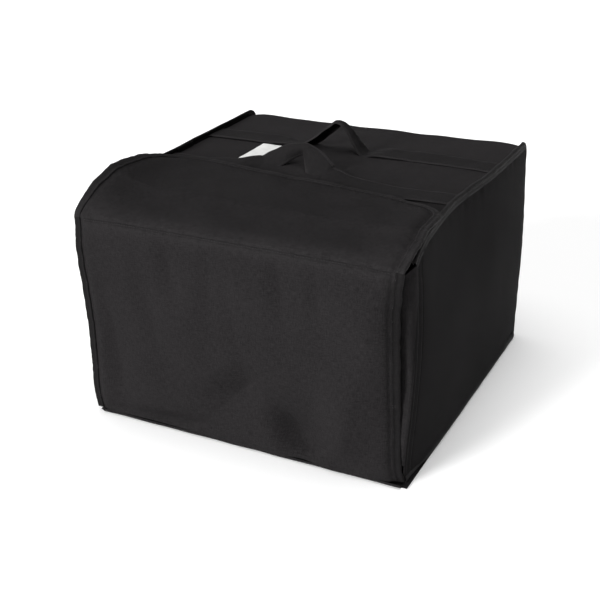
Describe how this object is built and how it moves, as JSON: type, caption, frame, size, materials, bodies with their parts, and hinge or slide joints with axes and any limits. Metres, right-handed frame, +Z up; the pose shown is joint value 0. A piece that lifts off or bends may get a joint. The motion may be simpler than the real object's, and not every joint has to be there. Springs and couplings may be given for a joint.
{
  "type": "insulated pizza delivery bag",
  "caption": "Padded cloth carrier for flat pizza boxes: a front flap hinged at the floor folds over the top as a lid, with hook-and-loop strips, side wings and carry handles.",
  "frame": {"origin": "centre of the underside of the base, on the floor", "axes": "+X to the right seen from the front, +Y from the front flap towards the back, +Z up"},
  "size_m": [0.4538, 0.4804, 0.347],
  "materials": {
    "outer_cloth": "black coated polyester oxford weave, satin",
    "binding_tape": "black ribbed polyester tape",
    "webbing": "black folded strap of the same cloth",
    "hook_loop": "black napped hook and loop",
    "foam": "closed-cell insulating foam sheet",
    "foil_lining": "silver coated lining, soft sheen",
    "label_cloth": "white woven label, bare",
    "board": "stiff base board"
  },
  "bodies": {
    "carcass": {"top_back_cloth": "outer_cloth", "top_back_lining": "foil_lining", "top_foam": "foam", "back_foam": "foam", "base_cloth": "outer_cloth", "base_lining": "foil_lining", "base_foam": "foam", "side_cloth_left": "outer_cloth", "side_foam_left": "foam", "side_lining_left": "foil_lining", "seam_binding_left": "binding_tape", "base_binding_left": "binding_tape", "closure_loop_left": "hook_loop", "side_cloth_right": "outer_cloth", "side_foam_right": "foam", "side_lining_right": "foil_lining", "seam_binding_right": "binding_tape", "base_binding_right": "binding_tape", "closure_loop_right": "hook_loop", "mouth_binding": "binding_tape", "hinge_fold": "outer_cloth", "front_strap_left": "webbing", "front_strap_right": "webbing", "rear_strap_left": "webbing", "rear_strap_right": "webbing", "base_board": "board", "label": "label_cloth", "seam_tag": "binding_tape"},
    "flap": {"flap_cloth": "outer_cloth", "flap_foam": "foam", "flap_lining": "foil_lining", "flap_binding_left": "binding_tape", "flap_binding_right": "binding_tape", "crease_fold": "outer_cloth"},
    "lid": {"lid_cloth": "outer_cloth", "lid_foam": "foam", "lid_lining": "foil_lining", "lid_binding": "binding_tape", "closure_hook_left": "hook_loop", "closure_hook_right": "hook_loop"},
    "left_wing": {"wing_left": "outer_cloth", "wing_binding_left": "binding_tape"},
    "right_wing": {"wing_right": "outer_cloth", "wing_binding_right": "binding_tape"},
    "front_handle": {"front_grip": "webbing", "front_leg_left": "webbing", "front_leg_right": "webbing"},
    "rear_handle": {"rear_grip": "webbing", "rear_leg_left": "webbing", "rear_leg_right": "webbing"}
  },
  "joints": [
    {"name": "flap_open", "type": "hinge", "parent": "carcass", "child": "flap", "pos_m": [0, -0.227, 0.005], "axis": [1, 0, 0], "range_deg": [0, 82]},
    {"name": "lid_lift", "type": "hinge", "parent": "flap", "child": "lid", "pos_m": [0, -0.246, 0.291], "axis": [1, 0, 0], "range_deg": [0, 75]},
    {"name": "left_wing_fold", "type": "hinge", "parent": "carcass", "child": "left_wing", "pos_m": [-0.2235, -0.2202, 0], "axis": [0, 0.0952, 0.9955], "range_deg": [0, 68]},
    {"name": "right_wing_fold", "type": "hinge", "parent": "carcass", "child": "right_wing", "pos_m": [0.2235, -0.2202, 0], "axis": [0, -0.0952, -0.9955], "range_deg": [0, 68]},
    {"name": "front_handle_tilt", "type": "hinge", "parent": "carcass", "child": "front_handle", "pos_m": [0, 0.002, 0.29755], "axis": [-1, 0, 0], "range_deg": [-4, 35], "deforming": ["front_leg_left", "front_leg_right"]},
    {"name": "rear_handle_tilt", "type": "hinge", "parent": "carcass", "child": "rear_handle", "pos_m": [0, 0.102, 0.29755], "axis": [-1, 0, 0], "range_deg": [-45, 35], "deforming": ["rear_leg_left", "rear_leg_right"]}
  ]
}
